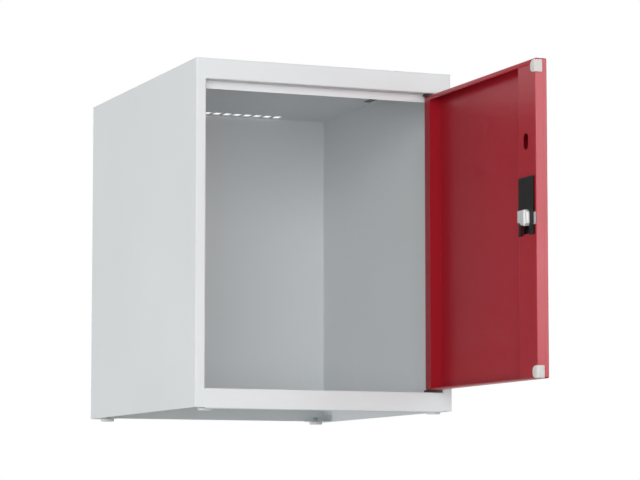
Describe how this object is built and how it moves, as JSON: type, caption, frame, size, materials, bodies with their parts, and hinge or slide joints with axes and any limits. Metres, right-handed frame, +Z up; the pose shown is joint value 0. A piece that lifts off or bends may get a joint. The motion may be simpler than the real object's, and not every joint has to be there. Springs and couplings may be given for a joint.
{
  "type": "locker top cabinet",
  "caption": "Sheet-metal locker top cabinet on round glides, with roof vents at the back and a pivoting door that a twist knob locks by sliding a bolt.",
  "frame": {"origin": "on the ground, at the centre of the footprint that the carcass and the open door cover together", "axes": "+Z up, -Y out of the cabinet's mouth, +X towards the hinge side"},
  "size_m": [0.4, 0.8504, 0.504],
  "materials": {
    "grey_paint": "fine satin powder coat",
    "red_paint": "fine satin powder coat",
    "black_plastic": "moulded nylon",
    "pale_plastic": "moulded plastic",
    "zinc": "bright zinc plate"
  },
  "bodies": {
    "carcass": {"left_side_panel": "grey_paint", "right_side_panel": "grey_paint", "back_panel": "grey_paint", "roof_panel": "grey_paint", "roof_plug_left": "black_plastic", "roof_plug_right": "black_plastic", "top_front_rail": "grey_paint", "door_stop_rail": "grey_paint", "bottom_front_rail": "grey_paint", "floor_panel": "grey_paint", "foot_bracket_front_left": "grey_paint", "foot_bracket_front_right": "grey_paint", "foot_bracket_rear_left": "grey_paint", "foot_bracket_rear_right": "grey_paint", "foot_front_left": "pale_plastic", "foot_front_right": "pale_plastic", "foot_rear_left": "pale_plastic", "foot_rear_right": "pale_plastic", "upper_hinge_bush": "black_plastic", "lower_hinge_bush": "black_plastic"},
    "door": {"door_skin": "red_paint", "lock_stile": "red_paint", "door_cap_upper": "pale_plastic", "door_cap_lower": "pale_plastic", "upper_pin_block": "black_plastic", "lower_pin_block": "black_plastic", "upper_hinge_pin": "zinc", "lower_hinge_pin": "zinc", "lock_case": "black_plastic", "lock_rosette": "black_plastic", "lock_nut": "zinc"},
    "knob": {"lock_knob": "black_plastic", "lock_spindle": "zinc"},
    "bolt": {"latch_bolt": "zinc"}
  },
  "joints": [
    {"name": "door_hinge", "type": "hinge", "parent": "carcass", "child": "door", "pos_m": [0.1745, -0.0678, 0.2525], "axis": [0, 0, 1], "range_deg": [-90, 15]},
    {"name": "knob_turn", "type": "hinge", "parent": "door", "child": "knob", "pos_m": [0.1815, -0.3964, 0.2513], "axis": [1, 0, 0], "range_deg": [0, 90]},
    {"name": "bolt_slide", "type": "slide", "parent": "door", "child": "bolt", "axis": [0, -1, 0], "range_m": [0, 0.0099]}
  ],
  "couplings": [
    {"joint": "knob_turn", "follows": "bolt_slide", "rad_per_m": 158.6}
  ]
}
